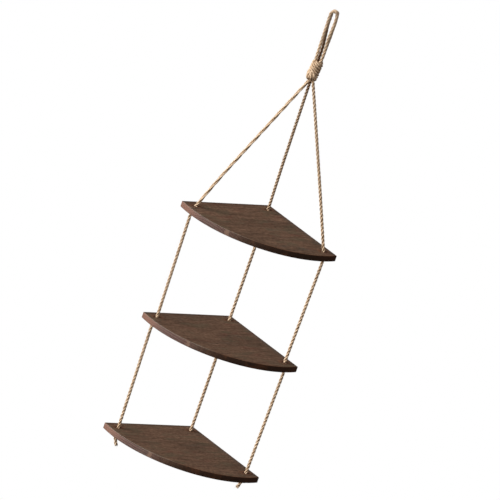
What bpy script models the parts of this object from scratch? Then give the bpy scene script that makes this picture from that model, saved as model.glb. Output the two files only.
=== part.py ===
"""Three-tier corner shelf on three laid ropes, hung from one knotted loop.

The origin is where a hook bears, at the top of the loop's inside. Z is up, the boards'
square corner points to +Y and their rounded front to -Y. Lengths are in metres.
"""

import math

import bmesh
import bpy
from mathutils import Vector

MM = 0.001
GAP = 0.3 * MM

# Boards
SIDE = 280 * MM
CORNER_TO_FRONT = 304 * MM
BOARD_THICK = 15 * MM
BOARD_EDGE = 1 * MM
TIERS = ("top", "middle", "bottom")
TOP_BOARD_Z = -570 * MM
TIER_SPACING = 298.4 * MM
ARC_STEPS = 28

# Rope holes: how far each is from the left and from the right straight side
HOLE_RADIUS = 5.4 * MM
HOLES_MM = {"left": (26.4, 257.1), "back": (27.1, 24.9), "right": (258.0, 25.6)}
HOLE_STEPS = 16

# Laid rope: three strands, so three ridges and three grooves in a turn
ROPE_RADIUS = 3.8 * MM
GROOVE_RADIUS = 2.9 * MM
LAY_LENGTH = 31.5 * MM
RING_POINTS = 6
RING_STEP = LAY_LENGTH / RING_POINTS

# Coil knot that binds the loop's limbs above to the three ropes below
COIL_TOP_Z = -122.5 * MM
COIL_BOTTOM_Z = -177 * MM
COIL_X = -0.6 * MM
COIL_LEAN = -2.6 * MM
COIL_RADIUS = 14.75 * MM
COIL_RIDGE = 3.4 * MM
COIL_STARTS = 3
COIL_TURNS = 2
COIL_END_ROUND = 2.6 * MM

# Stop knots that carry each board from below
STOP_RADIUS = 8.5 * MM
STOP_HEIGHT = 10.2 * MM
STOP_RIDGE = 2.2 * MM
STOP_STARTS = 1
STOP_TURNS = 1.6
STOP_END_ROUND = 2.6 * MM
STOP_LEAN = 5.5 * MM

# Heights on a rope, from the top face of the board that it passes through
BEND_AT_HOLE = -1 * MM
BEND_INTO_STOP = -17.5 * MM
BEND_OUT_OF_STOP = -24.5 * MM
SOFT_AT_HOLE = 4.5 * MM
SOFT_AT_STOP = 4 * MM
DROP_BELOW_COIL = 3 * MM
SOFT_BELOW_COIL = 2.8 * MM

# One rope for each hole: where it leaves the coil knot, which way it leans below a stop knot, and
# where its free tail bends and ends, across from its hole and below the bottom board's top face
ROPES = {
    "left": {
        "in_coil": (-5.4 * MM, -1.5 * MM),
        "lean": -1,
        "tail_bend": -0.5 * MM,
        "tail_end": (9.0 * MM, -45.5 * MM),
    },
    "back": {
        "in_coil": (-2.6 * MM, 6.2 * MM),
        "lean": 0,
        "tail_bend": 0.5 * MM,
        "tail_end": (3.5 * MM, -44 * MM),
    },
    "right": {
        "in_coil": (3.8 * MM, -1.5 * MM),
        "lean": 1,
        "tail_bend": -3.2 * MM,
        "tail_end": (-9.0 * MM, -42.5 * MM),
    },
}

# The two bights of the hanging loop, side by side: where each limb runs across, by height
LOOP_COLUMNS = ("z", "left_x", "right_x")
LOOPS = {
    "front": {
        "y": -4.05 * MM,
        "top_x": -1.1 * MM,
        "top_radius": 8.3 * MM,
        "limbs_mm": (
            (-15, -9.0, 8.1), (-30, -8.6, 7.6), (-46, -8.3, 6.4), (-64, -7.9, 5.9), (-90, -7.8, 7.2),
        ),
        "foot_mm": (-7.3, 6.7),
    },
    "back": {
        "y": 4.05 * MM,
        "top_x": 0.6 * MM,
        "top_radius": 7.5 * MM,
        "limbs_mm": (
            (-15, -6.0, 8.7), (-30, -6.0, 8.6), (-46, -4.2, 8.5), (-64, -2.6, 8.7), (-90, -0.9, 8.0),
        ),
        "foot_mm": (-0.8, 7.0),
    },
}
LOOP_TOP_STEPS = 7

SIN45 = math.sqrt(0.5)
HALF_WIDTH = SIDE * SIN45
FRONT_BULGE = CORNER_TO_FRONT - HALF_WIDTH
ARC_RADIUS = (HALF_WIDTH**2 + FRONT_BULGE**2) / (2 * FRONT_BULGE)
ARC_HALF_ANGLE = math.asin(HALF_WIDTH / ARC_RADIUS)


def front_arc(corner_y):
    """Points along the rounded front, from the left tip to the right one."""
    centre_y = corner_y - CORNER_TO_FRONT + ARC_RADIUS
    points = []
    for step in range(ARC_STEPS + 1):
        angle = ARC_HALF_ANGLE * (2 * step / ARC_STEPS - 1)
        points.append((ARC_RADIUS * math.sin(angle), centre_y - ARC_RADIUS * math.cos(angle)))
    return points


def centroid_y(outline):
    """How far along Y the middle of the outline's area lies."""
    area = moment = 0.0
    for (x0, y0), (x1, y1) in zip(outline, outline[1:] + outline[:1]):
        cross = x0 * y1 - x1 * y0
        area += cross / 2
        moment += (y0 + y1) * cross / 6
    return moment / area


# The boards hang plumb, so the middle of their area is under the hook.
CORNER_Y = -centroid_y([(0.0, 0.0), *front_arc(0.0)])


def on_board(from_left, from_right):
    """The point at these distances, in millimetres, from the left and from the right straight side."""
    x = (from_left - from_right) * MM * SIN45
    y = CORNER_Y - (from_left + from_right) * MM * SIN45
    return Vector((x, y, 0.0))


HOLES = {side: on_board(*distances) for side, distances in HOLES_MM.items()}


def board_z(tier):
    return TOP_BOARD_Z - TIERS.index(tier) * TIER_SPACING


def make_material(name, colour, roughness):
    material = bpy.data.materials.new(name)
    material.use_nodes = True
    shader = material.node_tree.nodes["Principled BSDF"]
    shader.inputs["Base Color"].default_value = (*colour, 1.0)
    shader.inputs["Roughness"].default_value = roughness
    shader.inputs["Metallic"].default_value = 0.0
    return material


def add_object(name, data, collection, parent=None):
    item = bpy.data.objects.new(name, data)
    collection.objects.link(item)
    item.parent = parent
    return item


def add_closed_spline(curve, points):
    spline = curve.splines.new("POLY")
    spline.points.add(len(points) - 1)
    for place, (x, y) in zip(spline.points, points):
        place.co = (x, y, 0.0, 1.0)
    spline.use_cyclic_u = True


def make_board(name, collection, material):
    """A quarter-round board with its three rope holes and softened edges, centred on its own thickness."""
    outline = bpy.data.curves.new(name + "_outline", "CURVE")
    outline.dimensions = "2D"
    outline.fill_mode = "BOTH"
    outline.extrude = BOARD_THICK / 2 - BOARD_EDGE
    outline.bevel_depth = BOARD_EDGE
    outline.bevel_resolution = 0
    outline.offset = -BOARD_EDGE
    add_closed_spline(outline, [(0.0, CORNER_Y), *front_arc(CORNER_Y)])
    for hole in HOLES.values():
        circle = []
        for step in range(HOLE_STEPS):
            angle = math.tau * step / HOLE_STEPS
            circle.append((hole.x + HOLE_RADIUS * math.cos(angle), hole.y + HOLE_RADIUS * math.sin(angle)))
        add_closed_spline(outline, circle)
    outline.materials.append(material)
    return add_object(name, outline, collection)


def taut_route(corners):
    """Points close together along a pulled rope: straight runs, with each corner (point, softness) eased."""
    route = [corners[0][0]]
    for (before, _), (corner, soft), (after, _) in zip(corners, corners[1:], corners[2:]):
        start = corner + (before - corner).normalized() * soft
        end = corner + (after - corner).normalized() * soft
        for step in range(9):
            share = step / 8
            route.append(start.lerp(corner, share).lerp(corner.lerp(end, share), share))
    route.append(corners[-1][0])
    return route


def smooth_route(points):
    """Points close together along a smooth curve through the given ones."""
    ends = [points[0] * 2 - points[1], *points, points[-1] * 2 - points[-2]]
    route = []
    for a, b, c, d in zip(ends, ends[1:], ends[2:], ends[3:]):
        for step in range(8):
            t = step / 8
            drift = (c - a) * t
            bend = (a * 2 - b * 5 + c * 4 - d) * t**2
            turn = (b * 3 - a - c * 3 + d) * t**3
            route.append(b + (drift + bend + turn) / 2)
    route.append(points[-1])
    return route


def evenly_spaced(route, spacing):
    """The same route with an even number of steps of about this length."""
    travelled = [0.0]
    for a, b in zip(route, route[1:]):
        travelled.append(travelled[-1] + (b - a).length)
    steps = max(2, round(travelled[-1] / spacing))
    points = []
    index = 0
    for step in range(steps + 1):
        target = travelled[-1] * step / steps
        while index < len(route) - 2 and travelled[index + 1] < target:
            index += 1
        run = travelled[index + 1] - travelled[index]
        points.append(route[index].lerp(route[index + 1], (target - travelled[index]) / run))
    return points


def laid_rope(name, route, collection, material, parent):
    """A closed solid along the route. Its ridges stand one point further round at each ring, so they wind."""
    centres = evenly_spaced(route, RING_STEP)
    rope = bmesh.new()
    rings = []
    along = [end - start for start, end in zip(centres, centres[2:])]
    along = [route[1] - route[0], *along, route[-1] - route[-2]]
    forward = along[0].normalized()
    side = forward.orthogonal().normalized()
    for index, (centre, ahead) in enumerate(zip(centres, along)):
        side = forward.rotation_difference(ahead) @ side
        forward = ahead.normalized()
        across = forward.cross(side)
        ring = []
        for point in range(RING_POINTS):
            angle = math.tau * point / RING_POINTS
            radius = GROOVE_RADIUS if (point + index) % 2 else ROPE_RADIUS
            ring.append(rope.verts.new(centre + (side * math.cos(angle) + across * math.sin(angle)) * radius))
        rings.append(ring)
    for lower, upper in zip(rings, rings[1:]):
        for point in range(RING_POINTS):
            beside = (point + 1) % RING_POINTS
            rope.faces.new((lower[point], lower[beside], upper[beside]))
            rope.faces.new((lower[point], upper[beside], upper[point]))
    rope.faces.new(reversed(rings[0]))
    rope.faces.new(rings[-1])
    mesh = bpy.data.meshes.new(name)
    rope.to_mesh(mesh)
    rope.free()
    mesh.materials.append(material)
    return add_object(name, mesh, collection, parent)


def wound_knot(name, radius, height, ridge, starts, turns, end_round, lean, sides, rings, material):
    """A barrel of wound rope, its base on the local XY plane: the wraps fall to the right, seen from outside.

    The foot is further along X than the top, by the lean.
    """
    knot = bmesh.new()
    layers = []
    for ring in range(rings + 1):
        z = height * ring / rings
        middle_x = lean * (0.5 - z / height)
        from_end = min(z, height - z)
        shoulder = math.sqrt(max(0.0, 1 - (1 - min(1.0, from_end / end_round)) ** 2))
        layer = []
        for side in range(sides):
            angle = math.tau * side / sides
            wraps = starts * (turns * z / height + angle / math.tau)
            off_crown = abs(wraps % 1 - 0.5) * 2
            crown = ridge * (1 - math.sqrt(1 - 0.9 * off_crown**2))
            reach = radius - crown - end_round * (1 - shoulder)
            layer.append(knot.verts.new((middle_x + reach * math.cos(angle), reach * math.sin(angle), z)))
        layers.append(layer)
    for lower, upper in zip(layers, layers[1:]):
        for side in range(sides):
            beside = (side + 1) % sides
            knot.faces.new((lower[side], lower[beside], upper[beside], upper[side]))
    knot.faces.new(reversed(layers[0]))
    knot.faces.new(layers[-1])
    mesh = bpy.data.meshes.new(name)
    knot.to_mesh(mesh)
    knot.free()
    mesh.materials.append(material)
    return mesh


def rope_route(side):
    """The corners of one rope, from the coil knot down through the three boards to its free tail."""
    hole = HOLES[side]
    facts = ROPES[side]
    outward = Vector((facts["lean"] * STOP_LEAN, 0.0, 0.0))
    start = Vector((*facts["in_coil"], COIL_BOTTOM_Z - GAP))
    corners = [(start, 0.0), (start - Vector((0.0, 0.0, DROP_BELOW_COIL)), SOFT_BELOW_COIL)]
    for tier in TIERS:
        top = hole + Vector((0.0, 0.0, board_z(tier)))
        corners.append((top + Vector((0.0, 0.0, BEND_AT_HOLE)), SOFT_AT_HOLE))
        corners.append((top + Vector((0.0, 0.0, BEND_INTO_STOP)), SOFT_AT_STOP))
        if tier == TIERS[-1]:
            tail_x, tail_z = facts["tail_end"]
            corners.append((top + Vector((facts["tail_bend"], 0.0, BEND_OUT_OF_STOP)), SOFT_AT_STOP))
            corners.append((top + Vector((tail_x, 0.0, tail_z)), 0.0))
        else:
            corners.append((top + outward + Vector((0.0, 0.0, BEND_OUT_OF_STOP)), SOFT_AT_STOP))
    return corners


def make_rope(side, collection, cutters, material, parent):
    """One rope with its three stop knots fused on."""
    rope = laid_rope("rope_" + side, taut_route(rope_route(side)), collection, material, parent)
    for tier in TIERS:
        stop_mesh = wound_knot(
            "stop_knot", STOP_RADIUS, STOP_HEIGHT, STOP_RIDGE, STOP_STARTS, STOP_TURNS, STOP_END_ROUND,
            lean=0.0, sides=14, rings=9, material=material,
        )
        stop = add_object(f"stop_{side}_{tier}", stop_mesh, cutters, parent)
        stop.location = HOLES[side] + Vector((0.0, 0.0, board_z(tier) - BOARD_THICK - GAP - STOP_HEIGHT))
        stop.hide_render = True
        stop.display_type = "WIRE"
        fuse = rope.modifiers.new("fuse_" + tier, "BOOLEAN")
        fuse.operation = "UNION"
        fuse.object = stop
    return rope


def loop_route(facts):
    """One bight of the hanging loop: up from the coil knot, over the hook and down again."""
    y = facts["y"]
    foot_z = COIL_TOP_Z + GAP
    limbs = [dict(zip(LOOP_COLUMNS, (value * MM for value in row))) for row in facts["limbs_mm"]]
    left_foot, right_foot = (value * MM for value in facts["foot_mm"])
    left = [Vector((row["left_x"], y, row["z"])) for row in reversed(limbs)]
    right = [Vector((row["right_x"], y, row["z"])) for row in limbs]
    top = []
    for step in range(LOOP_TOP_STEPS):
        angle = math.pi * (1 - step / (LOOP_TOP_STEPS - 1))
        across = facts["top_x"] + facts["top_radius"] * math.cos(angle)
        up = ROPE_RADIUS - facts["top_radius"] * (1 - math.sin(angle))
        top.append(Vector((across, y, up)))
    return [Vector((left_foot, y, foot_z)), *left, *top, *right, Vector((right_foot, y, foot_z))]


def build():
    for old in list(bpy.data.objects):
        bpy.data.objects.remove(old)
    scene = bpy.context.scene.collection
    collection = bpy.data.collections.new("hanging_corner_shelf")
    cutters = bpy.data.collections.new("fused_knots")
    scene.children.link(collection)
    scene.children.link(cutters)
    dark_wood = make_material("dark_wood", (0.095, 0.058, 0.042), 0.55)
    jute = make_material("jute_rope", (0.52, 0.39, 0.26), 0.9)

    hook = add_object("hook_point", None, collection)
    for tier in TIERS:
        board = make_board("shelf_" + tier, collection, dark_wood)
        board.parent = hook
        board.location.z = board_z(tier) - BOARD_THICK / 2
    for side in ROPES:
        make_rope(side, collection, cutters, jute, hook)
    coil_mesh = wound_knot(
        "coil_knot", COIL_RADIUS, COIL_TOP_Z - COIL_BOTTOM_Z, COIL_RIDGE, COIL_STARTS, COIL_TURNS,
        COIL_END_ROUND, lean=COIL_LEAN, sides=24, rings=36, material=jute,
    )
    coil = add_object("coil_knot", coil_mesh, collection, hook)
    coil.location = (COIL_X, 0.0, COIL_BOTTOM_Z)
    for place, facts in LOOPS.items():
        laid_rope("loop_" + place, smooth_route(loop_route(facts)), collection, jute, hook)


build()
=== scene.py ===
"""The looks of a three-tier corner shelf on laid ropes: stained boards, rope lay, knots, light and camera.

Lengths are in metres, in the frame of the solids: the origin is where a hook bears, under the top
of the hanging loop, Z is up, and the boards' square corner points to +Y. Colours are linear red,
green and blue.
"""

import math
import random

import bpy
import numpy as np
from mathutils import Euler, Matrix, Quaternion, Vector


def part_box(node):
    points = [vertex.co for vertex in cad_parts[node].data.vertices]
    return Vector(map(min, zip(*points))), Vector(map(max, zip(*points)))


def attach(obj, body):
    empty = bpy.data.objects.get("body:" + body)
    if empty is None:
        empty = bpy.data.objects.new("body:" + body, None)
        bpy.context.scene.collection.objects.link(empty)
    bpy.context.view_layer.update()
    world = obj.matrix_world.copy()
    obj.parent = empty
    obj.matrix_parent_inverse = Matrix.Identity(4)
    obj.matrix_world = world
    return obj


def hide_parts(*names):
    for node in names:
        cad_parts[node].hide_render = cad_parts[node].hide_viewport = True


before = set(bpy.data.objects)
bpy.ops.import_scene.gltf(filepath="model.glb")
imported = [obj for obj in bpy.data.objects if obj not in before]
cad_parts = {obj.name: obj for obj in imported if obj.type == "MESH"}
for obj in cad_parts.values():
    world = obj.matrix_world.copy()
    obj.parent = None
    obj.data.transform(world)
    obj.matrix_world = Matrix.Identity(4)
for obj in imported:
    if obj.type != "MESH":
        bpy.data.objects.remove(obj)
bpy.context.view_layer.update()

MM = 0.001
GAP = 0.3 * MM
TURN = math.tau
SIN45 = math.sqrt(0.5)
UP = (0.0, 0.0, 1.0)
ROOT = "root"

# The photograph: 500 pixels across, looking down on the boards, with the whole picture rolled
PHOTO_PIXELS = 500
PIXELS_PER_METRE = 414.3
CAMERA_AZIMUTH = math.radians(1.03)
CAMERA_ELEVATION = math.radians(17.95)
CAMERA_ROLL = math.radians(19.3)
CAMERA_AIM = Vector((-0.005, 0.0075, -0.6386))
CAMERA_LENS = 1500
CAMERA_SENSOR = 36

# Light: azimuth and elevation say where it comes from, with azimuth from -Y towards +X, and softness
# how wide the sun looks, all in degrees. AMBIENT is the strength of the light from all round.
LIGHTS = {
    "key": {"strength": 3.5, "azimuth": -74, "elevation": 14, "softness": 25},
    "fill": {"strength": 1.7, "azimuth": -42, "elevation": 50, "softness": 70},
    "back": {"strength": 0.9, "azimuth": 165, "elevation": -20, "softness": 30},
}
LAMP_COLOUR = (1.0, 0.985, 0.96)
AMBIENT = 0.17
AMBIENT_COLOUR = (1.0, 0.87, 0.74, 1.0)
WHITE = (1.0, 1.0, 1.0, 1.0)
BLACK = (0.0, 0.0, 0.0, 1.0)
FLOOR_Z = -62
FLOOR_HALF_SIZE = 300

# Boards
SIDE = 280 * MM
CORNER_TO_FRONT = 304 * MM
CORNER_Y = 178.9 * MM
BOARD_THICK = 15 * MM
BOARD_EDGE = 1.1 * MM
BOARDS = ("shelf_top", "shelf_middle", "shelf_bottom")
ARC_STEPS = 120

# Rope holes: how far each is from the left and from the right straight side
HOLE_RADIUS = 4.8 * MM
HOLES_MM = {"left": (26.4, 257.1), "back": (27.1, 24.9), "right": (258.0, 25.6)}
HOLE_STEPS = 40

# Wood grain, which runs along the left straight side. Each board comes from another height in the
# tree. PITH is the middle of the growth rings, across and upwards.
GRAIN = (SIN45, SIN45, 0.0)
GRAIN_TURN = -math.pi / 4
GRAIN_WANDER = 12 * MM
TREE_SHIFT = 0.4
PITH = (-0.02, 0.11)
RING_WIDTH = 5.5 * MM
FROM_LEFT_SIDE = (SIN45, -SIN45, 0.0)
FROM_RIGHT_SIDE = (-SIN45, -SIN45, 0.0)
DARKER_TOWARDS = (0.9, -0.2, 0.0)

# Noises in the wood: how fine each is along the grain, across it and upwards, its detail and roughness
GRAIN_NOISES = {
    "streaks": ((15.0, 230.0, 120.0), 6.0, 0.7),
    "fibres": ((30.0, 900.0, 600.0), 5.0, 0.75),
    "broad": ((4.0, 19.0, 19.0), 3.0, 0.55),
    "red": ((14.0, 60.0, 34.0), 3.0, 0.55),
    "cool": ((9.0, 30.0, 26.0), 3.0, 0.55),
    "pores": ((55.0, 650.0, 500.0), 2.0, 0.55),
    "mottle": ((120.0, 200.0, 160.0), 3.0, 0.55),
    "green": ((16.0, 38.0, 30.0), 3.0, 0.6),
}
PRICK_FINENESS = 1600.0

# Stain by the grain's tone, and the colours that clouds of a noise bring in: where the noise starts
# to count, where it counts in full, the share of the colour there, and the colour
WOOD_TONES = ((0.38, (0.034, 0.018, 0.011)), (0.5, (0.104, 0.058, 0.037)), (0.62, (0.190, 0.112, 0.074)))
GRAIN_TINTS = {
    "red": (0.56, 0.74, 0.5, (0.130, 0.042, 0.030)),
    "cool": (0.56, 0.78, 0.5, (0.082, 0.078, 0.062)),
    "green": (0.5, 0.68, 0.5, (0.088, 0.074, 0.046)),
    "pores": (0.6, 0.68, 0.6, (0.022, 0.011, 0.007)),
}

# Bands on the faces along the straight sides: the side, how far the band reaches, its share and colour
WALL_BANDS = (
    ("left", 13 * MM, 0.55, (0.045, 0.020, 0.013)),
    ("left", 3.5 * MM, 0.6, (0.035, 0.020, 0.016)),
    ("right", 3.5 * MM, 0.5, (0.060, 0.040, 0.034)),
    ("right", 22 * MM, 0.35, (0.080, 0.066, 0.058)),
)

# Tints at the two ends of the rounded edge: X where each starts and where it is full, share and colour
TIP_TINTS = (
    (-0.13, -0.185, 0.5, (0.300, 0.150, 0.105)),
    (0.14, 0.185, 0.35, (0.075, 0.024, 0.010)),
)

HOLE_STAIN = (0.150, 0.050, 0.022)
# Painted shade in each rope hole and round its rim
HOLE_PAINTED_SHADE = (0.022, 0.010, 0.006)
END_GRAIN_DARK = (0.070, 0.038, 0.034)
END_GRAIN_LIGHT = (0.160, 0.098, 0.086)
END_GRAIN_COOL = (0.105, 0.086, 0.074)
# Side grain: darker partly by the wood's own tone and partly as painted shade on the edge turned from the
# light
SIDE_GRAIN_DARK_AND_SHADE = (0.030, 0.013, 0.008)
SIDE_GRAIN_RED = (0.095, 0.036, 0.016)
# Painted highlight along the rounded front's arrises, red to the right and pale grey to the left
ARRIS_HIGHLIGHT_RIGHT = (0.130, 0.055, 0.026)
ARRIS_HIGHLIGHT_LEFT = (0.205, 0.180, 0.150)

# The pale spot in the rounded edge, by its angle round the arc
PATCH_ANGLE = math.radians(-16.9)
PATCH_HALF_WIDTH = 6.5 * MM
PATCH_UNEVEN = 20 * MM
PATCH_COLOUR = (0.235, 0.145, 0.105)

# Laid rope of three strands, each spun from yarns
STRANDS = 3
ROPE_RADIUS = 3.8 * MM
FUZZED_RADIUS = 4.08 * MM
LOOP_ROPE_RADIUS = 3.85 * MM
STRAND_SHARE = 0.5
LOOP_STRAND_SHARE = 0.52
LAY_LENGTH = 31.5 * MM
OPENED_SHARE = 0.7
YARNS = 6
FIBRE_TURN = -0.37
STRAND_SIDES = 12
STRAND_STEP = 1.7 * MM
END_MAP_RADIUS = 0.1

# A strand's thickness swells in two waves: each one's share of it, radians in a metre, and phases
SWELLS = ((0.035, 190.0, 1), (0.02, 431.0, 2))

# Loose hairs: the taper gives the share of the thickness at each share of the length. The foot is a
# share of the rope's radius, and the square of the length's range is a share of the longest hair.
HAIR_RADIUS = 0.07 * MM
HAIR_SIDES = 3
HAIR_TAPER = ((0.0, 1.0), (0.4, 0.9), (0.75, 0.65), (1.0, 0.2))
HAIR_FOOT = 0.93
HAIR_LEAN = (-0.5, 0.5)
HAIR_LENGTH = (0.35, 1.0)
HAIR_RISE = (0.12, 0.5)
HAIRS_PER_METRE = 650
LONGEST_HAIR = 6.5 * MM

# The frayed end of a free tail: its strands part by a share of their reach, swell, and then taper
FRAYED_LENGTH = 9 * MM
FRAYED_SPREAD = (0.25, 0.7)
FRAYED_SWELL = 0.12
FRAYED_TAPER = 0.35
FRAYED_HAIRS = 60
FRAYED_HAIR_FOOT = 0.7
LONGEST_FRAYED_HAIR = 9 * MM

# Rope colours
STRAW_TONES = ((0.37, (0.370, 0.232, 0.130)), (0.49, (0.740, 0.540, 0.360)), (0.61, (0.950, 0.800, 0.625)))
DUSKY_STRAW = (0.440, 0.270, 0.140)
FADED_STRAW = (0.700, 0.580, 0.420)
GROOVE_SHADE = (0.160, 0.075, 0.032)
# Painted shade: dark brown laid on rope that lies in the shade of the coil knot and of the ropes in front
PAINTED_SHADE_COLOUR = (0.085, 0.032, 0.013)
ROPE_SHEEN = (0.95, 0.80, 0.60, 1.0)

# Coil knot: the wraps lean, and the core ropes fill its middle
COIL_TOP_Z = -122.5 * MM
COIL_BOTTOM_Z = -177 * MM
COIL_X = -0.6 * MM
COIL_LEAN = -2.6 * MM
COIL_RADIUS = 14.75 * MM
COIL_LEAD = 27.3 * MM
COIL_SPARE_TURN = 0.25
COIL_STARTS = 3
COIL_SEED = 11
COIL_FIRST_ANGLE = math.radians(200)
COIL_TUCK = 0.13
# Share of painted shade laid evenly over all the coil knot's wraps
COIL_PAINTED_SHADE = 0.09
WRAP_ROPE_RADIUS = 4.3 * MM
WRAP_LAY_LENGTH = 62 * MM
WRAP_STRAND_SHARE = 0.53
CORE_ROPES = 5
CORE_REACH = 4.5 * MM
CORE_INSET = 3 * MM
INTO_COIL = 9 * MM

# The ends that bulge out at the coil knot's foot: where each comes round to, in degrees, and its lowest
# height. Each bends through the same places: degrees before it, millimetres from the knot's middle line,
# and millimetres above its lowest height.
COIL_LOBES = ((219, -173.2), (272, -169.5), (316, -172.0))
LOBE_BENDS = (
    (62, 5.0, 22.0), (46, 10.2, 15.5), (22, 12.0, 8.5), (0, 12.6, 1.0), (-7, 9.6, -1.2), (-9, 5.2, 1.8),
)

# A wound rope: how far its tucked ends go inwards, as a share, and away from their own face
WRAP_STEPS_IN_TURN = 28
TUCKED_INWARDS = 0.72
TUCK_DIVE = 7 * MM

# Stop knots: turns of rope, and a strand that crosses over them from foot to top
STOP_RADIUS = 8.6 * MM
STOP_HEIGHT = 10.2 * MM
STOP_ROPE_RADIUS = 3.0 * MM
STOP_WRAP_SWELL = 1.12
STOP_TURNS = 1.75
STOP_TUCK = 0.14
STOP_LEAN = 5.5 * MM
CROSSING_STEPS = 4
CROSSING_START = 2.0
CROSSING_TURN = -1.1
CROSSING_REACH = 0.55
CROSSING_BULGE = 0.55

# Heights on a rope, from the top face of the board that it passes through, and how soft its bends are
BEND_AT_HOLE = -1 * MM
BEND_INTO_STOP = -17.5 * MM
BEND_OUT_OF_STOP = -24.5 * MM
SOFT_AT_HOLE = 4.5 * MM
SOFT_AT_STOP = 4 * MM
SOFT_AT_BOW = 50 * MM
DROP_BELOW_COIL = 3 * MM
SOFT_BELOW_COIL = 2.8 * MM
CORNER_STEPS = 8
CURVE_STEPS = 8

# One rope for each hole: where it leaves the coil knot, which way it leans below a stop knot, where its
# free tail bends and ends, how it bows above the top board (at which share of that stretch, and how far),
# how far from the knot its lay has opened, and how much painted shade it has by the distance from the knot
ROPES = {
    "left": {
        "in_coil": (-5.4 * MM, -1.5 * MM),
        "lean": -1,
        "tail_bend": -0.5 * MM,
        "tail_end": (9.0 * MM, -45.5 * MM),
        "bow": (0.78, Vector((-2.1 * MM, 0.0, 1.0 * MM))),
        "opened": 0.42,
        "painted_shade_along": (),
    },
    "back": {
        "in_coil": (-2.6 * MM, 6.2 * MM),
        "lean": 0,
        "tail_bend": 0.5 * MM,
        "tail_end": (3.5 * MM, -44 * MM),
        "bow": (0.7, Vector((-1.0 * MM, 0.0, 0.0))),
        "opened": 0.0,
        # Painted shade on the back rope, darkest just under the coil knot
        "painted_shade_along": ((0.0, 0.85), (0.02, 0.8), (0.07, 0.35), (0.40, 0.15), (0.6, 0.0)),
    },
    "right": {
        "in_coil": (3.8 * MM, -1.5 * MM),
        "lean": 1,
        "tail_bend": -3.2 * MM,
        "tail_end": (-9.0 * MM, -42.5 * MM),
        "bow": (0.66, Vector((0.3 * MM, 0.0, 0.0))),
        "opened": 0.0,
        "painted_shade_along": (),
    },
}

# The two bights of the hanging loop, side by side: where each limb runs across, by height
LOOP_COLUMNS = ("z", "left_x", "right_x")
LOOPS = {
    "front": {
        "y": -4.05 * MM,
        "top_x": -1.7 * MM,
        "top_radius": 7.8 * MM,
        "limbs_mm": (
            (-15, -9.7, 7.2), (-30, -9.5, 7.2), (-46, -9.2, 6.2), (-64, -8.8, 5.4), (-90, -8.3, 6.6),
        ),
        "foot_mm": (-7.3, 6.7),
        "painted_shade_along": (),
    },
    "back": {
        "y": 4.05 * MM,
        "top_x": -0.1 * MM,
        "top_radius": 7.0 * MM,
        "limbs_mm": (
            (-15, -6.9, 7.9), (-30, -7.1, 8.3), (-46, -5.9, 8.3), (-64, -3.7, 8.3), (-90, -1.2, 7.6),
        ),
        "foot_mm": (-0.8, 7.0),
        # Painted shade on the back bight, darkest where its limbs lie behind the front bight
        "painted_shade_along": (
            (0.0, 0.85), (0.09, 0.8), (0.115, 0.6), (0.14, 0.2), (0.18, 0.0), (0.22, 0.1), (0.27, 0.5),
        ),
    },
}
LOOP_TOP_STEPS = 7

# Inside the coil knot the end of a limb lies at this share of its distance from the middle
FOOT_DRAWN_IN = 0.6

HALF_WIDTH = SIDE * SIN45
FRONT_BULGE = CORNER_TO_FRONT - HALF_WIDTH
ARC_RADIUS = (HALF_WIDTH**2 + FRONT_BULGE**2) / (2 * FRONT_BULGE)
ARC_HALF_ANGLE = math.asin(HALF_WIDTH / ARC_RADIUS)
ARC_CENTRE_Y = CORNER_Y - CORNER_TO_FRONT + ARC_RADIUS


def on_board(from_left, from_right):
    """The point at these distances, in millimetres, from the left and from the right straight side."""
    x = (from_left - from_right) * MM * SIN45
    y = CORNER_Y - (from_left + from_right) * MM * SIN45
    return Vector((x, y, 0.0))


def on_arc(angle):
    """The X and Y of the point of the rounded front at this angle from its middle."""
    return ARC_RADIUS * math.sin(angle), ARC_CENTRE_Y - ARC_RADIUS * math.cos(angle)


HOLES = {side: on_board(*distances) for side, distances in HOLES_MM.items()}
BOARD_TOPS = [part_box(name)[1][2] for name in BOARDS]


def add_object(name, data):
    made = bpy.data.objects.new(name, data)
    bpy.context.scene.collection.objects.link(made)
    return made


def hang(piece, slot, *nodes):
    """Fixes a piece to the object, and hides the solids that it stands for."""
    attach(piece, ROOT)
    if nodes:
        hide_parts(*nodes)


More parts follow.
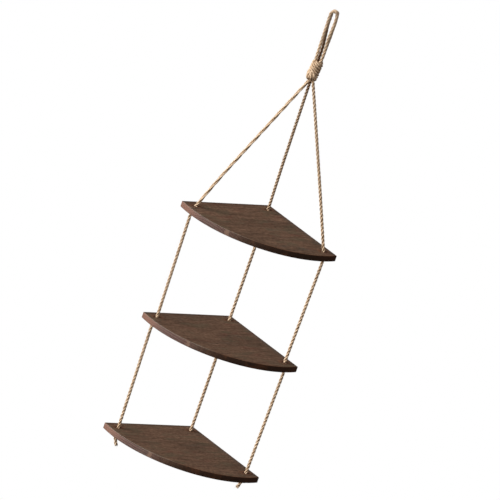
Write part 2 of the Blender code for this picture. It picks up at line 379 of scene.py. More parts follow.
class Shader:
    """A node tree under construction, with short calls for the nodes that the materials share."""

    def __init__(self, name):
        self.material = bpy.data.materials.new(name)
        self.material.use_nodes = True
        self.tree = self.material.node_tree
        self.surface = self.tree.nodes["Principled BSDF"]

    def node(self, kind, **settings):
        made = self.tree.nodes.new("ShaderNode" + kind)
        for key, value in settings.items():
            setattr(made, key, value)
        return made

    def feed(self, socket, value):
        """Gives a socket a link, where the value comes out of another node, or a number or colour."""
        if isinstance(value, bpy.types.NodeSocket):
            self.tree.links.new(value, socket)
        else:
            socket.default_value = value

    def set_surface(self, **values):
        """Sets the surface's own sockets, named with underscores for spaces."""
        for name, value in values.items():
            self.feed(self.surface.inputs[name.replace("_", " ")], value)

    def attribute(self, name, output="Fac"):
        return self.node("Attribute", attribute_name=name).outputs[output]

    def calculate(self, operation, *values):
        made = self.node("Math", operation=operation)
        for socket, value in zip(made.inputs, values):
            self.feed(socket, value)
        return made.outputs[0]

    def times(self, first, second):
        return self.calculate("MULTIPLY", first, second)

    def combine(self, operation, *values):
        """Vector arithmetic."""
        made = self.node("VectorMath", operation=operation)
        for socket, value in zip(made.inputs, values):
            self.feed(socket, value)
        gives_number = operation in ("LENGTH", "DISTANCE", "DOT_PRODUCT")
        return made.outputs["Value" if gives_number else "Vector"]

    def mapped(self, vector, scale=(1, 1, 1), turn=0.0, shift=(0, 0, 0)):
        """The vector turned about Z, and after that stretched and shifted."""
        turned = self.node("Mapping")
        self.feed(turned.inputs["Vector"], vector)
        turned.inputs["Rotation"].default_value = (0.0, 0.0, turn)
        made = self.node("Mapping")
        self.feed(made.inputs["Vector"], turned.outputs[0])
        made.inputs["Scale"].default_value = scale
        made.inputs["Location"].default_value = shift
        return made.outputs[0]

    def noise(self, vector, scale=1.0, detail=4.0, roughness=0.55):
        made = self.node("TexNoise")
        self.feed(made.inputs["Vector"], vector)
        made.inputs["Scale"].default_value = scale
        made.inputs["Detail"].default_value = detail
        made.inputs["Roughness"].default_value = roughness
        return made.outputs[0]

    def span(self, value, low, high, to_low=0.0, to_high=1.0):
        """to_low where the value is low, to_high where it is high, and a smooth step between."""
        made = self.node("MapRange", interpolation_type="SMOOTHSTEP")
        for socket, number in zip(made.inputs, (value, low, high, to_low, to_high)):
            self.feed(socket, number)
        return made.outputs[0]

    def ramp(self, value, stops):
        """A colour ramp through stops, each a place and a colour."""
        made = self.node("ValToRGB")
        self.feed(made.inputs[0], value)
        elements = made.color_ramp.elements
        while len(elements) < len(stops):
            elements.new(1.0)
        for element, (place, colour) in zip(elements, stops):
            element.position = place
            element.color = (*colour, 1.0)
        return made.outputs[0]

    def mix(self, share, first, second, blend="MIX"):
        """The first colour, with this share of the second laid over it."""
        made = self.node("Mix", data_type="RGBA", blend_type=blend)
        self.feed(made.inputs["Factor"], share)
        for socket, value in zip((made.inputs["A"], made.inputs["B"]), (first, second)):
            self.feed(socket, (*value, 1.0) if isinstance(value, tuple) else value)
        return made.outputs["Result"]

    def blend_numbers(self, *weighted):
        """The sum of each value times its weight."""
        total = 0.0
        for value, weight in weighted:
            total = self.calculate("MULTIPLY_ADD", value, weight, total)
        return total

    def part(self, vector, axis):
        made = self.node("SeparateXYZ")
        self.feed(made.inputs[0], vector)
        return made.outputs[axis]

    def grey(self, value):
        """A colour or vector with this value three times."""
        made = self.node("CombineXYZ")
        for socket in made.inputs:
            self.feed(socket, value)
        return made.outputs[0]

    def bump(self, height, strength, distance, under=None):
        """Relief by height, on top of the relief under it."""
        made = self.node("Bump")
        made.inputs["Strength"].default_value = strength
        made.inputs["Distance"].default_value = distance
        self.feed(made.inputs["Height"], height)
        if under is not None:
            self.feed(made.inputs["Normal"], under)
        return made.outputs[0]


class PlantFibre(Shader):
    """Undyed plant fibre: straw to tan, darker between the strands, with fibres along each strand."""

    def __init__(self):
        super().__init__("jute_fibre")
        self.strand = self.node("UVMap", uv_map="strand").outputs[0]
        self.fibres = self.fibre_noise((9.0, 0.55, 1.0), detail=5.0, roughness=0.65)
        self.hairs = self.fibre_noise((34.0, 1.5, 1.0), detail=3.0, roughness=0.6)
        self.threads = self.fibre_noise((85.0, 2.6, 1.0), detail=3.0, roughness=0.7)
        self.yarns = self.yarn_wave()

    def fibre_noise(self, scale, **settings):
        """Noise drawn out along the fibres, which run a little askew on the strand."""
        return self.noise(self.mapped(self.strand, scale, turn=FIBRE_TURN), **settings)

    def yarn_wave(self):
        """A wave with a crest for each yarn round the strand, which the fibres make uneven."""
        across = self.part(self.mapped(self.strand, turn=FIBRE_TURN), "X")
        return self.calculate(
            "SINE", self.calculate("ADD", self.times(across, TURN * YARNS), self.times(self.fibres, 5.0)),
        )

    def colour(self):
        """Straw by the fibres' tone, then dusky and faded patches, shade in the grooves, and painted shade
        by each point's share of it.
        """
        place = self.node("TexCoord").outputs["Object"]
        patches = self.noise(place, scale=60.0, detail=3.0)
        long_patches = self.noise(place, scale=13.0, detail=2.0)
        tone = self.blend_numbers(
            (self.fibres, 0.4), (self.hairs, 0.35), (self.threads, 0.25), (self.yarns, 0.035),
        )
        straw = self.ramp(tone, STRAW_TONES)
        dusky = self.mix(self.span(patches, 0.5, 0.72, 0.0, 0.35), straw, DUSKY_STRAW)
        faded = self.mix(self.span(long_patches, 0.5, 0.75, 0.0, 0.3), dusky, FADED_STRAW)
        groove = self.span(self.attribute("crown"), 0.6, -0.3, 0.0, 0.66)
        shaded = self.mix(groove, faded, GROOVE_SHADE)
        # Painted shade, broken up by the fibres
        patchy_painted_shade = self.times(self.attribute("painted_shade"), self.span(self.fibres, 0.3, 0.7, 1.05, 0.75))
        return self.mix(patchy_painted_shade, shaded, PAINTED_SHADE_COLOUR)

    def relief(self):
        """Yarns, with fibres, hairs and threads on them, each finer than the last."""
        yarns = self.bump(self.yarns, 0.6, 0.28 * MM)
        fibres = self.bump(self.fibres, 0.6, 0.5 * MM, yarns)
        hairs = self.bump(self.hairs, 0.7, 0.35 * MM, fibres)
        return self.bump(self.threads, 0.6, 0.2 * MM, hairs)

    def finished(self):
        """The material, with its surface fed."""
        self.set_surface(
            Base_Color=self.colour(),
            Roughness=self.span(self.hairs, 0.2, 0.8, 0.95, 0.75),
            Normal=self.relief(),
            Specular_IOR_Level=0.2,
            Sheen_Weight=0.15,
            Sheen_Roughness=0.4,
            Sheen_Tint=ROPE_SHEEN,
        )
        return self.material


class StainedWood(Shader):
    """Dark stained softwood. Its methods lay one colour after another over the stain."""

    def __init__(self):
        super().__init__("dark_stained_wood")
        self.place = self.node("TexCoord").outputs["Object"]
        normal = self.node("NewGeometry").outputs["Normal"]
        self.upward = self.calculate("ABSOLUTE", self.combine("DOT_PRODUCT", normal, UP))
        # 1 where the surface is cut square across the grain, 0 where it lies along it
        self.across_grain = self.calculate("ABSOLUTE", self.combine("DOT_PRODUCT", normal, GRAIN))
        self.on_edge = self.span(self.upward, 0.9, 0.4)
        self.on_face = self.calculate("SUBTRACT", 1.0, self.on_edge)
        self.flat = self.combine("MULTIPLY", self.place, (1.0, 1.0, 0.0))
        from_corner = self.combine("SUBTRACT", self.flat, (0.0, CORNER_Y, 0.0))
        self.from_side = {
            "left": self.combine("DOT_PRODUCT", from_corner, FROM_LEFT_SIDE),
            "right": self.combine("DOT_PRODUCT", from_corner, FROM_RIGHT_SIDE),
        }
        self.in_tree = self.place_in_tree()
        self.noises = {name: self.grain_noise(*facts) for name, facts in GRAIN_NOISES.items()}
        self.rings = self.growth_rings()
        self.tone = self.blend_numbers(
            (self.noises["streaks"], 0.40), (self.noises["fibres"], 0.34), (self.noises["mottle"], 0.26),
            (self.rings, 0.012),
        )
        self.stain = self.ramp(self.tone, WOOD_TONES)

    def place_in_tree(self):
        """Where the wood grew, pushed a little across the grain so that the grain isn't dead straight."""
        grown = self.combine("ADD", self.place, self.attribute("tree", "Vector"))
        wander = self.calculate("SUBTRACT", self.noise(grown, scale=8.0, detail=2.0), 0.5)
        push = self.grey(self.times(wander, GRAIN_WANDER))
        return self.combine("ADD", grown, self.combine("MULTIPLY", push, FROM_LEFT_SIDE))

    def grain_noise(self, scale, detail, roughness):
        """Noise drawn out along the grain."""
        drawn_out = self.mapped(self.in_tree, scale, turn=GRAIN_TURN)
        return self.noise(drawn_out, detail=detail, roughness=roughness)

    def growth_rings(self):
        """A wave round the pith, which the streaks and the broad noise make uneven."""
        from_pith = self.mapped(self.in_tree, turn=GRAIN_TURN, shift=(0.0, *PITH))
        radius = self.combine("LENGTH", self.combine("MULTIPLY", from_pith, (0.0, 1.0, 1.0)))
        phase = self.blend_numbers(
            (radius, TURN / RING_WIDTH), (self.noises["streaks"], 7.0), (self.noises["broad"], 9.0),
        )
        return self.calculate("SINE", phase)

    def tint(self, share, colour, where=None):
        """Lays a share of a colour over the stain, all over or only where this is 1."""
        if where is not None:
            share = self.times(share, where)
        self.stain = self.mix(share, self.stain, colour)

    def cloud(self):
        """Lighter and darker clouds, a lift towards the left, tinted clouds, and dark pores."""
        clouds = self.span(self.noises["broad"], 0.3, 0.7, 0.86, 1.14)
        rightwards = self.combine("DOT_PRODUCT", self.place, DARKER_TOWARDS)
        lift = self.times(clouds, self.span(rightwards, -0.2, 0.2, 1.26, 1.06))
        self.stain = self.mix(1.0, self.stain, self.grey(lift), "MULTIPLY")
        for name, (low, high, share, colour) in GRAIN_TINTS.items():
            self.tint(self.span(self.noises[name], low, high, 0.0, share), colour)

    def band_along_walls(self):
        """Darker bands on the faces where the stain gathered along the straight sides."""
        for side, reach, share, colour in WALL_BANDS:
            near = self.span(self.from_side[side], 0.3 * reach, reach, share, 0.0)
            self.tint(near, colour, self.on_face)

    def ring_holes(self):
        """A reddish stain round each rope hole, longer along the grain, and painted shade in the hole and
        round its rim.
        """
        for hole in HOLES.values():
            from_hole = self.combine("SUBTRACT", self.flat, tuple(hole))
            distance = self.combine("LENGTH", self.mapped(from_hole, (0.5, 1.0, 1.0), turn=GRAIN_TURN))
            self.tint(self.span(distance, 5 * MM, 13 * MM, 0.55, 0.0), HOLE_STAIN, self.on_face)
            self.tint(self.span(distance, 3.5 * MM, 7.5 * MM, 0.85, 0.0), HOLE_PAINTED_SHADE)

    def colour_edge(self):
        """Pricked end grain where the edge cuts the grain, and side grain along it, dark partly as painted
        shade.
        """
        pricks = self.noise(self.in_tree, scale=PRICK_FINENESS, detail=3.0, roughness=0.7)
        tone = self.blend_numbers((pricks, 0.8), (self.rings, 0.09), (self.noises["fibres"], 0.2))
        end_grain = self.mix(self.span(tone, 0.38, 0.62), END_GRAIN_DARK, END_GRAIN_LIGHT)
        end_grain = self.mix(self.span(self.noises["cool"], 0.45, 0.7, 0.0, 0.4), end_grain, END_GRAIN_COOL)
        side_grain_and_shade = self.mix(self.span(self.noises["red"], 0.5, 0.7), SIDE_GRAIN_DARK_AND_SHADE, SIDE_GRAIN_RED)
        self.tint(self.span(self.across_grain, 0.7, 0.95, 0.0, 0.88), end_grain, self.on_edge)
        self.tint(self.span(self.across_grain, 0.98, 0.6, 0.0, 0.88), side_grain_and_shade, self.on_edge)

    def tint_tips(self):
        """Redder wood at the two ends of the rounded edge."""
        towards_right = self.part(self.place, "X")
        for start, full, share, colour in TIP_TINTS:
            self.tint(self.span(towards_right, start, full, 0.0, share), colour, self.on_edge)

    def add_pale_patch(self):
        """A pale spot with an uneven outline in the rounded edge."""
        distance = self.combine("DISTANCE", self.flat, (*on_arc(PATCH_ANGLE), 0.0))
        uneven = self.times(self.calculate("SUBTRACT", self.noises["mottle"], 0.5), PATCH_UNEVEN)
        distance = self.calculate("ADD", distance, uneven)
        near = self.span(distance, 0.2 * PATCH_HALF_WIDTH, 1.2 * PATCH_HALF_WIDTH, 0.75, 0.0)
        self.tint(near, PATCH_COLOUR, self.on_edge)

    def paint_arris_highlight(self):
        """Painted highlight along the arrises of the rounded front: grey to the left, red to the right."""
        leftwards = self.span(self.part(self.place, "X"), -0.06, 0.03, 1.0, 0.0)
        arris_highlight = self.mix(leftwards, ARRIS_HIGHLIGHT_RIGHT, ARRIS_HIGHLIGHT_LEFT)
        from_centre = self.combine("DISTANCE", self.flat, (0.0, ARC_CENTRE_Y, 0.0))
        from_front = self.calculate("SUBTRACT", ARC_RADIUS, from_centre)
        width = self.span(self.noises["cool"], 0.35, 0.65, 1.6 * MM, 4.2 * MM)
        near_front = self.span(from_front, 0.4 * MM, width, 0.62, 0.0)
        from_walls = self.calculate("MINIMUM", self.from_side["left"], self.from_side["right"])
        off_walls = self.span(from_walls, 0.0, 4 * MM)
        arris = self.times(near_front, self.span(self.upward, 0.2, 0.6))
        self.tint(arris, arris_highlight, off_walls)

    def finished(self):
        """The material, with its stains, its painted shade and its painted highlight laid, and its surface
        fed.
        """
        self.cloud()
        self.band_along_walls()
        self.ring_holes()
        self.colour_edge()
        self.tint_tips()
        self.add_pale_patch()
        self.paint_arris_highlight()
        coarse = self.bump(self.tone, 0.35, 0.5 * MM)
        self.set_surface(
            Base_Color=self.stain,
            Roughness=self.span(self.tone, 0.3, 0.7, 0.78, 0.58),
            Normal=self.bump(self.noises["fibres"], 0.5, 0.25 * MM, coarse),
            Specular_IOR_Level=0.22,
        )
        return self.material


def front_arc():
    """Points along the rounded front, from the left tip to the right one."""
    return [on_arc(ARC_HALF_ANGLE * (2 * step / ARC_STEPS - 1)) for step in range(ARC_STEPS + 1)]


def circle_round(hole):
    """Points round the rim of a rope hole."""
    points = []
    for step in range(HOLE_STEPS):
        angle = TURN * step / HOLE_STEPS
        points.append((hole.x + HOLE_RADIUS * math.cos(angle), hole.y + HOLE_RADIUS * math.sin(angle)))
    return points


def add_closed_spline(curve, points):
    spline = curve.splines.new("POLY")
    spline.points.add(len(points) - 1)
    for place, (x, y) in zip(spline.points, points):
        place.co = (x, y, 0.0, 1.0)
    spline.use_cyclic_u = True


def board_mesh(material):
    """The quarter-round board: flat faces, a softly rounded arris all round and at each rope hole."""
    outline = bpy.data.curves.new("board_outline", "CURVE")
    outline.dimensions = "2D"
    outline.fill_mode = "BOTH"
    outline.extrude = BOARD_THICK / 2 - BOARD_EDGE
    outline.bevel_depth = BOARD_EDGE
    outline.bevel_resolution = 2
    outline.offset = -BOARD_EDGE
    add_closed_spline(outline, [(0.0, CORNER_Y), *front_arc()])
    for hole in HOLES.values():
        add_closed_spline(outline, circle_round(hole))
    helper = add_object("board_outline", outline)
    graph = bpy.context.evaluated_depsgraph_get()
    mesh = bpy.data.meshes.new_from_object(helper.evaluated_get(graph))
    bpy.data.objects.remove(helper)
    for face in mesh.polygons:
        face.use_smooth = abs(face.normal.z) < 0.999
    mesh.materials.clear()
    mesh.materials.append(material)
    return mesh


def board_piece(name, mesh):
    """One board, cut from its own height in the tree. It throws no shadow on the ropes and boards below."""
    index = BOARDS.index(name)
    cut = mesh.copy()
    tree = cut.attributes.new("tree", "FLOAT_VECTOR", "POINT")
    tree.data.foreach_set("vector", [0.0, 0.0, TREE_SHIFT * index] * len(cut.vertices))
    board = add_object("board_" + name.split("_")[1], cut)
    board.location.z = BOARD_TOPS[index] - BOARD_THICK / 2
    board.visible_shadow = False
    bpy.context.view_layer.update()
    return board


def taut_route(corners):
    """Points close together along a pulled rope: straight runs, with each corner (point, softness) eased."""
    route = [corners[0][0]]
    for (before, _), (corner, soft), (after, _) in zip(corners, corners[1:], corners[2:]):
        start = corner + (before - corner).normalized() * soft
        end = corner + (after - corner).normalized() * soft
        for step in range(CORNER_STEPS + 1):
            share = step / CORNER_STEPS
            route.append(start.lerp(corner, share).lerp(corner.lerp(end, share), share))
    route.append(corners[-1][0])
    return route


def smooth_route(points):
    """Points close together along a smooth curve through the given ones."""
    ends = [points[0] * 2 - points[1], *points, points[-1] * 2 - points[-2]]
    route = []
    for a, b, c, d in zip(ends, ends[1:], ends[2:], ends[3:]):
        for step in range(CURVE_STEPS):
            t = step / CURVE_STEPS
            drift = (c - a) * t
            bend = (a * 2 - b * 5 + c * 4 - d) * t**2
            turn = (b * 3 - a - c * 3 + d) * t**3
            route.append(b + (drift + bend + turn) / 2)
    route.append(points[-1])
    return route


def as_array(points):
    return np.array([tuple(point) for point in points])


def evenly_spaced(route, spacing):
    """The route as an array of points, in equal steps of about this length, and the distances along it."""
    points = as_array(route)
    lengths = np.linalg.norm(np.diff(points, axis=0), axis=1)
    travelled = np.concatenate(([0.0], np.cumsum(lengths)))
    steps = max(4, round(travelled[-1] / spacing))
    along = np.linspace(0.0, travelled[-1], steps + 1)
    return np.stack([np.interp(along, travelled, points[:, axis]) for axis in range(3)], axis=1), along


def frames_along(points):
    """Two directions across the route at each point, turning as little as they can from one to the next."""
    ahead = np.gradient(points, axis=0)
    ahead /= np.linalg.norm(ahead, axis=1, keepdims=True)
    side = Vector(ahead[0]).orthogonal().normalized()
    sides = [side]
    for before, after in zip(ahead, ahead[1:]):
        side = Vector(before).rotation_difference(Vector(after)) @ side
        sides.append(side.normalized())
    sides = as_array(sides)
    return sides, np.cross(ahead, sides)


class Fibre:
    """A mesh made of tubes.

    It has a map along each tube, and knows of each point how far it stands out of the rope and how
    much painted shade it has.
    """

    def __init__(self):
        self.points = []
        self.faces = []
        self.uvs = []
        self.crowns = []
        self.painted_shades = []
        self.count = 0

    def tube(self, centres, radii, frames, twist, along, ring_points=STRAND_SIDES, crowned=True, painted_shade=0.0):
        """One closed tube. Its angles, and the map's seam, start on the side that faces into the rope."""
        sides, across = frames
        rings = len(centres)
        angles = np.linspace(0.0, TURN, ring_points + 1)[:-1]
        turned = twist[:, None] + math.pi + angles[None, :]
        offset = np.cos(turned)[..., None] * sides[:, None, :]
        offset += np.sin(turned)[..., None] * across[:, None, :]
        places = centres[:, None, :] + offset * radii[:, None, None]
        crown = -np.cos(angles) if crowned else np.ones(ring_points)
        heights = along / (TURN * radii.mean())
        self.add_wall(heights, ring_points)
        self.close_end(0, heights, angles, -1)
        self.close_end(rings - 1, heights, angles, 1)
        self.points.append(places.reshape(-1, 3))
        self.crowns.append(np.tile(crown, rings))
        self.painted_shades.append(np.repeat(np.broadcast_to(painted_shade, rings), ring_points))
        self.count += rings * ring_points

    def add_wall(self, heights, ring_points):
        """Faces from each ring of points to the next, mapped by the share round them and their height."""
        for ring, (low, high) in enumerate(zip(heights, heights[1:])):
            here = self.count + ring * ring_points
            there = here + ring_points
            for side in range(ring_points):
                beside = (side + 1) % ring_points
                self.faces.append((here + side, here + beside, there + beside, there + side))
                left, right = side / ring_points, (side + 1) / ring_points
                self.uvs += [(left, low), (right, low), (right, high), (left, high)]

    def close_end(self, ring, heights, angles, order):
        """A face over one ring, taken forwards or backwards so that it faces out, and mapped as a circle."""
        first = self.count + ring * len(angles)
        self.faces.append(tuple(range(first, first + len(angles)))[::order])
        for angle in angles:
            u = 0.5 + END_MAP_RADIUS * math.cos(angle)
            self.uvs.append((u, heights[ring] + END_MAP_RADIUS * math.sin(angle)))

    def object(self, name, material):
        """The tubes as one smooth object."""
        mesh = bpy.data.meshes.new(name)
        mesh.from_pydata(np.concatenate(self.points).tolist(), [], self.faces)
        layer = mesh.uv_layers.new(name="strand")
        layer.data.foreach_set("uv", np.array(self.uvs).ravel())
        for title, values in (("crown", self.crowns), ("painted_shade", self.painted_shades)):
            layer = mesh.attributes.new(title, "FLOAT", "POINT")
            layer.data.foreach_set("value", np.concatenate(values))
        mesh.shade_smooth()
        mesh.materials.append(material)
        return add_object(name, mesh)


def hair_path(middle, ahead, radius, longest, dice):
    """A bent line from just inside the rope's surface, which rises off it and leans, and its length."""
    outward = ahead.orthogonal().normalized()
    outward.rotate(Quaternion(ahead, dice.uniform(0.0, TURN)))
    sideways = ahead.cross(outward) * dice.uniform(*HAIR_LEAN)
    length = dice.uniform(*HAIR_LENGTH) ** 2 * longest
    rise = dice.uniform(*HAIR_RISE)
    path = []
    for share, _ in HAIR_TAPER:
        reach = (ahead * share + sideways * share**2 + outward * rise * share) * length
        path.append(middle + outward * radius * HAIR_FOOT + reach)
    return as_array(path), length


def add_hairs(fibre, centres, radius, count, dice, longest=LONGEST_HAIR, painted_shade=0.0):
    """Loose fibre ends that stand off the rope, most of them lying along it."""
    painted_shades = np.broadcast_to(painted_shade, len(centres))
    taper = np.array([thickness for _, thickness in HAIR_TAPER])
    for _ in range(count):
        index = dice.randrange(1, len(centres) - 1)
        ahead = Vector(centres[index + 1] - centres[index - 1]).normalized() * dice.choice((-1, 1))
        path, length = hair_path(Vector(centres[index]), ahead, radius, longest, dice)
        untwisted = np.zeros(len(path))
        lengths = np.linspace(0.0, length, len(path))
        fibre.tube(
            path, HAIR_RADIUS * taper, frames_along(path), untwisted, lengths, HAIR_SIDES, crowned=False,
            painted_shade=painted_shades[index],
        )


def lay_rope(
    fibre, route, dice, radius=FUZZED_RADIUS, lay=LAY_LENGTH, share=STRAND_SHARE, frayed=0.0,
    hairs=HAIRS_PER_METRE, painted_shade_along=(), opened=0.0,
):
    """Adds a rope of three strands along the route.

    frayed is the length at its end where the strands part, hairs how many loose fibre ends it has in a
    metre, the table after that how much painted shade it has by the distance along it, and opened how far
    from its start the strands have lost most of their turns.
    """
    centres, along = evenly_spaced(route, STRAND_STEP)
    frames = frames_along(centres)
    sides, across = frames
    strand_radius = radius * share
    length = along[-1]
    painted_shade = np.interp(along, *zip(*painted_shade_along)) if painted_shade_along else 0.0
    for strand in range(STRANDS):
        phase = dice.uniform(0.0, TURN)
        uneven = np.ones_like(along)
        for swell, pace, phases in SWELLS:
            uneven += swell * np.sin(along * pace + phases * phase)
        radii = strand_radius * uneven
        reach = np.full_like(along, radius - strand_radius)
        if frayed:
            loose = np.clip((along - (length - frayed)) / frayed, 0.0, 1.0)
            reach = reach * (1.0 + dice.uniform(*FRAYED_SPREAD) * loose)
            radii = radii * (1.0 + FRAYED_SWELL * loose - FRAYED_TAPER * loose**6)
        turns = (along - OPENED_SHARE * np.minimum(along, opened)) / lay
        twist = TURN * (turns + strand / STRANDS)
        lines = centres + (np.cos(twist) * reach)[:, None] * sides
        lines += (np.sin(twist) * reach)[:, None] * across
        fibre.tube(lines, radii, frames, twist, along, painted_shade=painted_shade)
    add_hairs(fibre, centres, radius, round(length * hairs), dice, painted_shade=painted_shade)
    if frayed:
        foot = radius * FRAYED_HAIR_FOOT
        add_hairs(fibre, centres[-4:], foot, FRAYED_HAIRS, dice, longest=LONGEST_FRAYED_HAIR)


def rope_route(side):
    """The corners of one rope, from the coil knot down through the three boards to its free tail."""
    hole = HOLES[side]
    facts = ROPES[side]
    outward = Vector((facts["lean"] * STOP_LEAN, 0.0, 0.0))
    foot = Vector((*facts["in_coil"], COIL_BOTTOM_Z))
    inside = foot + Vector((0.0, 0.0, INTO_COIL))
    corners = [(inside, 0.0), (foot - Vector((0.0, 0.0, DROP_BELOW_COIL)), SOFT_BELOW_COIL)]
    share, aside = facts["bow"]
    corners.append((foot.lerp(hole + Vector((0.0, 0.0, BOARD_TOPS[0])), share) + aside, SOFT_AT_BOW))
    for board_top in BOARD_TOPS:
        top = hole + Vector((0.0, 0.0, board_top))
        corners.append((top + Vector((0.0, 0.0, BEND_AT_HOLE)), SOFT_AT_HOLE))
        corners.append((top + Vector((0.0, 0.0, BEND_INTO_STOP)), SOFT_AT_STOP))
        if board_top == BOARD_TOPS[-1]:
            tail_x, tail_z = facts["tail_end"]
            corners.append((top + Vector((facts["tail_bend"], 0.0, BEND_OUT_OF_STOP)), SOFT_AT_STOP))
            corners.append((top + Vector((tail_x, 0.0, tail_z)), 0.0))
        else:
            corners.append((top + outward + Vector((0.0, 0.0, BEND_OUT_OF_STOP)), SOFT_AT_STOP))
    return corners


def loop_route(facts):
    """One bight of the hanging loop: up from inside the coil knot, over the hook and down again."""
    y = facts["y"]
    limbs = [dict(zip(LOOP_COLUMNS, (value * MM for value in row))) for row in facts["limbs_mm"]]
    left_foot, right_foot = (value * MM for value in facts["foot_mm"])
    left = [Vector((row["left_x"], y, row["z"])) for row in reversed(limbs)]
    right = [Vector((row["right_x"], y, row["z"])) for row in limbs]
    top = []
    for step in range(LOOP_TOP_STEPS):
        angle = math.pi * (1 - step / (LOOP_TOP_STEPS - 1))
        across = facts["top_x"] + facts["top_radius"] * math.cos(angle)
        up = ROPE_RADIUS - facts["top_radius"] * (1 - math.sin(angle))
        top.append(Vector((across, y, up)))
    feet = [Vector((foot, y, COIL_TOP_Z)) for foot in (left_foot, right_foot)]
    inside = [Vector((foot.x * FOOT_DRAWN_IN, y, COIL_TOP_Z - INTO_COIL)) for foot in feet]
    return [inside[0], feet[0], *left, *top, *right, feet[1], inside[1]]


def wrap_route(centre, foot_shift, start_angle, turns, radius, top_z, bottom_z, tuck):
    """A rope wound round an upright line, falling to the right at the front, with both its ends tucked in.

    Within the tuck, given as a share of the route, each end dives to the middle and away from its own face.
    """
    points = []
    steps = max(12, round(turns * WRAP_STEPS_IN_TURN))
    for step in range(steps + 1):
        share = step / steps
        inward = max(0.0, 1.0 - min(share, 1.0 - share) / tuck)
        reach = radius * (1.0 - TUCKED_INWARDS * inward**2)
        angle = start_angle + TURN * turns * share
        dive = TUCK_DIVE * inward**3 * (-1 if share < 0.5 else 1)
        z = top_z + (bottom_z - top_z) * share + dive
        lean = foot_shift * (share - 0.5)
        points.append(centre + Vector((lean + reach * math.cos(angle), reach * math.sin(angle), z)))
    return points


def lobe_route(angle, lowest):
    """The last bend of a wrap, which falls steeply down the knot's face and turns in under it."""
    centre_x = COIL_X + COIL_LEAN / 2
    points = []
    for before, out, above in LOBE_BENDS:
        turned = math.radians(angle - before)
        reach = out * MM
        height = (lowest + above) * MM
        points.append(Vector((centre_x + reach * math.cos(turned), reach * math.sin(turned), height)))
    return points


def coil_piece(material):
    """The coil knot: three ropes wound side by side round the limbs and ropes that it binds."""
    dice = random.Random(COIL_SEED)
    fibre = Fibre()
    top = COIL_TOP_Z - WRAP_ROPE_RADIUS
    bottom = COIL_BOTTOM_Z + WRAP_ROPE_RADIUS
    reach = COIL_RADIUS - WRAP_ROPE_RADIUS
    turns = (top - bottom) / COIL_LEAD + COIL_SPARE_TURN
    middle = Vector((COIL_X, 0.0, 0.0))
    half_lean = Vector((COIL_LEAN / 2, 0.0, 0.0))
    wrap = {
        "radius": WRAP_ROPE_RADIUS,
        "lay": WRAP_LAY_LENGTH,
        "share": WRAP_STRAND_SHARE,
        "painted_shade_along": ((0.0, COIL_PAINTED_SHADE),),
    }
    for start in range(COIL_STARTS):
        angle = COIL_FIRST_ANGLE + TURN * start / COIL_STARTS
        route = wrap_route(middle, COIL_LEAN, angle, turns, reach, top, bottom, COIL_TUCK)
        lay_rope(fibre, smooth_route(route), dice, **wrap)
    for angle, lowest in COIL_LOBES:
        lay_rope(fibre, smooth_route(lobe_route(angle, lowest)), dice, **wrap)
    for core in range(CORE_ROPES):
        angle = TURN * core / CORE_ROPES
        across = Vector((CORE_REACH * math.cos(angle), CORE_REACH * math.sin(angle), 0.0))
        head = middle - half_lean + across + Vector((0.0, 0.0, top - CORE_INSET))
        foot = middle + half_lean + across + Vector((0.0, 0.0, bottom + CORE_INSET))
        lay_rope(fibre, [head, head.lerp(foot, 0.5), foot], dice, hairs=0, **wrap)
    return fibre.object("coil_wraps", material)


def crossing_route(hole, start_angle, reach, bottom, top):
    """A strand that rises across the turns of a stop knot, bulging out over them."""
    points = []
    for step in range(CROSSING_STEPS + 1):
        share = step / CROSSING_STEPS
        angle = start_angle + CROSSING_START + CROSSING_TURN * share
        out = reach * (CROSSING_REACH + CROSSING_BULGE * math.sin(math.pi * share))
        z = bottom + (top - bottom) * share
        points.append(hole + Vector((out * math.cos(angle), out * math.sin(angle), z)))
    return points


def stop_piece(name, side, board_top, material):
    """A stop knot under a board: the rope turned round itself and crossed over."""
    dice = random.Random(name)
    fibre = Fibre()
    hole = HOLES[side]
    top = board_top - BOARD_THICK - STOP_ROPE_RADIUS - GAP
    bottom = board_top - BOARD_THICK - STOP_HEIGHT + STOP_ROPE_RADIUS - GAP
    reach = STOP_RADIUS - STOP_ROPE_RADIUS
    angle = dice.uniform(0.0, TURN)
    wound = wrap_route(hole, 0.0, angle, STOP_TURNS, reach, top, bottom, STOP_TUCK)
    lay_rope(fibre, smooth_route(wound), dice, radius=STOP_ROPE_RADIUS * STOP_WRAP_SWELL)
    crossing = crossing_route(hole, angle, reach, bottom, top)
    lay_rope(fibre, smooth_route(crossing), dice, radius=STOP_ROPE_RADIUS)
    return fibre.object(name, material)


def rope_piece(side, material):
    """One rope with its frayed tail."""
    dice = random.Random("rope " + side)
    fibre = Fibre()
    facts = ROPES[side]
    route = taut_route(rope_route(side))
    lay_rope(fibre, route, dice, frayed=FRAYED_LENGTH, painted_shade_along=facts["painted_shade_along"], opened=facts["opened"])
    return fibre.object("laid_rope_" + side, material)


def loop_piece(place, material):
    """One bight of the hanging loop."""
    dice = random.Random("loop " + place)
    fibre = Fibre()
    facts = LOOPS[place]
    route = smooth_route(loop_route(facts))
    lay_rope(fibre, route, dice, radius=LOOP_ROPE_RADIUS, share=LOOP_STRAND_SHARE, painted_shade_along=facts["painted_shade_along"])
    return fibre.object("laid_loop_" + place, material)


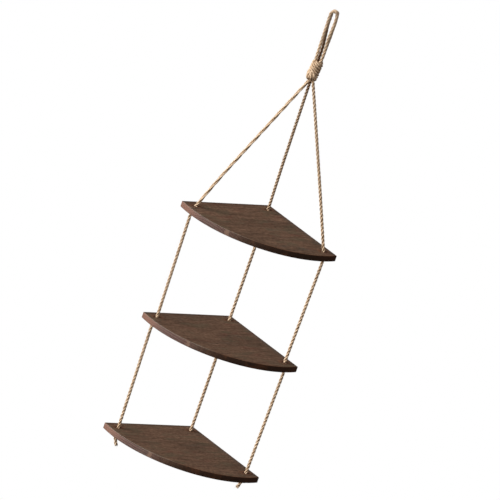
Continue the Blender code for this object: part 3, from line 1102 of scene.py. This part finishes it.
def add_world():
    """White where the camera looks past the object, and a softer white as light on it."""
    world = bpy.data.worlds.new("studio")
    bpy.context.scene.world = world
    world.use_nodes = True
    nodes, links = world.node_tree.nodes, world.node_tree.links
    background = nodes["Background"]
    rays = nodes.new("ShaderNodeLightPath")
    tint = nodes.new("ShaderNodeMix")
    tint.data_type = "RGBA"
    tint.inputs["A"].default_value = AMBIENT_COLOUR
    tint.inputs["B"].default_value = WHITE
    links.new(rays.outputs["Is Camera Ray"], tint.inputs["Factor"])
    links.new(tint.outputs["Result"], background.inputs["Color"])
    strength = nodes.new("ShaderNodeMapRange")
    strength.inputs["To Min"].default_value = AMBIENT
    strength.inputs["To Max"].default_value = 1.0
    links.new(rays.outputs["Is Camera Ray"], strength.inputs["Value"])
    links.new(strength.outputs[0], background.inputs["Strength"])


def floor_material():
    """White that shines by itself, so that it is as bright as the white round it."""
    shader = Shader("studio_white")
    shader.set_surface(
        Base_Color=BLACK, Specular_IOR_Level=0.0, Roughness=1.0, Emission_Color=WHITE, Emission_Strength=1.0,
    )
    return shader.material


def add_floor():
    """A pale floor far below the hanging shelf, which throws no light or shadow on it."""
    mesh = bpy.data.meshes.new("studio_floor")
    half = FLOOR_HALF_SIZE
    corners = [(x * half, y * half, FLOOR_Z) for x, y in ((-1, -1), (1, -1), (1, 1), (-1, 1))]
    mesh.from_pydata(corners, [], [(0, 1, 2, 3)])
    mesh.materials.append(floor_material())
    floor = add_object("studio_floor", mesh)
    floor.visible_diffuse = False
    floor.visible_glossy = False
    floor.visible_shadow = False


def add_lights():
    """A soft key from the left, a softer fill from the front, and a low light on back and undersides."""
    for name, facts in LIGHTS.items():
        lamp = bpy.data.lights.new(name, "SUN")
        lamp.energy = facts["strength"]
        lamp.angle = math.radians(facts["softness"])
        lamp.color = LAMP_COLOUR
        light = add_object(name, lamp)
        tilt = math.radians(90 - facts["elevation"])
        light.rotation_euler = Euler((tilt, 0.0, math.radians(facts["azimuth"])))


def add_camera():
    """A long lens far off, which shows the shelf at the photograph's scale and angle."""
    data = bpy.data.cameras.new("photo_camera")
    data.lens = CAMERA_LENS
    data.sensor_width = CAMERA_SENSOR
    camera = add_object("photo_camera", data)
    look = Euler((math.pi / 2 - CAMERA_ELEVATION, 0.0, CAMERA_AZIMUTH)).to_matrix()
    roll = Euler((0.0, 0.0, CAMERA_ROLL)).to_matrix()
    turned = look @ roll
    frame_width = PHOTO_PIXELS / PIXELS_PER_METRE
    distance = frame_width * CAMERA_LENS / CAMERA_SENSOR
    camera.matrix_world = turned.to_4x4()
    camera.location = CAMERA_AIM + turned.col[2] * distance
    data.clip_end = distance * 3
    bpy.context.scene.camera = camera


def build():
    """Makes the studio, then the boards, the ropes with their stop knots, the coil knot and the loop."""
    bpy.context.scene.view_settings.view_transform = "Standard"
    add_world()
    add_floor()
    add_lights()
    add_camera()
    jute = PlantFibre().finished()
    mesh = board_mesh(StainedWood().finished())
    for name in BOARDS:
        hang(board_piece(name, mesh), "board_wood", name)
    for side in ROPES:
        hang(rope_piece(side, jute), "rope_fibre", "rope_" + side)
        for name, board_top in zip(BOARDS, BOARD_TOPS):
            stop_name = f"stop_{side}_{name.split('_')[1]}"
            hang(stop_piece(stop_name, side, board_top, jute), "rope_fibre")
    hang(coil_piece(jute), "rope_fibre", "coil_knot")
    for place in LOOPS:
        hang(loop_piece(place, jute), "rope_fibre", "loop_" + place)


build()
